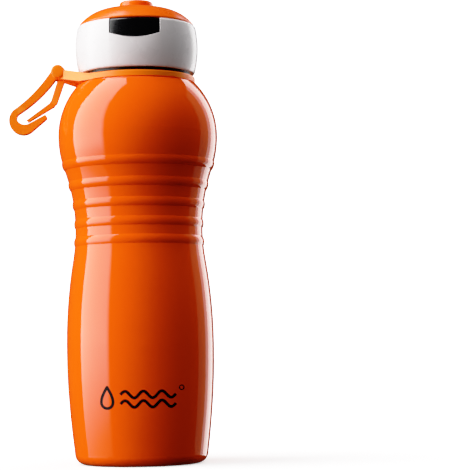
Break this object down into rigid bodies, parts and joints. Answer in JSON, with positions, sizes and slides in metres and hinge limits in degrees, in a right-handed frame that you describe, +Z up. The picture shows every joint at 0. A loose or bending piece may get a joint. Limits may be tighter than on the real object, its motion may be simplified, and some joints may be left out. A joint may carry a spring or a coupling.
{
  "type": "sports water bottle",
  "caption": "Waisted metal water bottle with a screw cap, a push-button pop-up spout and a folding carry hook on a ring under the cap.",
  "frame": {"origin": "centre of the circle that the bottle stands on", "axes": "+Z up along the bottle's axis; the release button faces -Y; the carry hook's hinge is on the -X side with its pin along Y"},
  "size_m": [0.0978, 0.0748, 0.2172],
  "materials": {
    "orange_paint": "gloss",
    "bare_steel": "satin",
    "orange_plastic": "gloss",
    "white_plastic": "gloss",
    "black_plastic": "satin",
    "black_gloss": "gloss",
    "clear_grey_plastic": "satin",
    "seal_rubber": "matte",
    "spring_steel": "polished"
  },
  "bodies": {
    "bottle": {"bottle_shell": "orange_paint", "base_plate": "bare_steel"},
    "strap": {"strap_ring": "orange_plastic", "hinge_pin": "bare_steel"},
    "hook": {"carry_hook": "orange_plastic"},
    "gate": {"hook_gate": "orange_plastic"},
    "gasket": {"cap_gasket": "seal_rubber"},
    "cap": {"cap_core": "black_plastic", "cap_collar": "white_plastic", "cap_dome": "orange_plastic", "latch_guide": "black_plastic", "valve_post": "clear_grey_plastic", "post_seal": "seal_rubber", "vent_valve": "seal_rubber", "spout_spring": "spring_steel", "button_spring": "spring_steel"},
    "button": {"release_button": "black_gloss", "latch_slide": "black_plastic"},
    "spout": {"spout": "orange_plastic", "spout_o_ring": "seal_rubber"}
  },
  "joints": [
    {"name": "strap_swivel", "type": "hinge", "parent": "bottle", "child": "strap", "pos_m": [0, 0, 0.181], "axis": [0, 0, 1], "continuous": true},
    {"name": "hook_fold", "type": "hinge", "parent": "strap", "child": "hook", "pos_m": [-0.037, 0, 0.1837], "axis": [0, 1, 0], "range_deg": [-8, 140]},
    {"name": "gate_open", "type": "hinge", "parent": "hook", "child": "gate", "pos_m": [-0.037, 0, 0.1837], "axis": [0, 1, 0], "range_deg": [0, 7], "stiffness_Nm_per_rad": 0.05, "springref_deg": -2.86},
    {"name": "cap_lift", "type": "slide", "parent": "bottle", "child": "gasket", "axis": [0, 0, 1], "range_m": [0, 0.01]},
    {"name": "cap_turn", "type": "hinge", "parent": "gasket", "child": "cap", "pos_m": [0, 0, 0.19], "axis": [0, 0, 1], "range_deg": [0, 900]},
    {"name": "button_press", "type": "slide", "parent": "cap", "child": "button", "axis": [0, 1, 0], "range_m": [0, 0.0016], "stiffness_N_per_m": 400, "springref_m": -0.001, "deforming": ["button_spring"]},
    {"name": "spout_lift", "type": "slide", "parent": "cap", "child": "spout", "axis": [0, 0, 1], "range_m": [0, 0.009], "deforming": ["spout_spring"]}
  ],
  "couplings": [
    {"joint": "cap_lift", "follows": "cap_turn", "m_per_rad": 0.00063661}
  ]
}
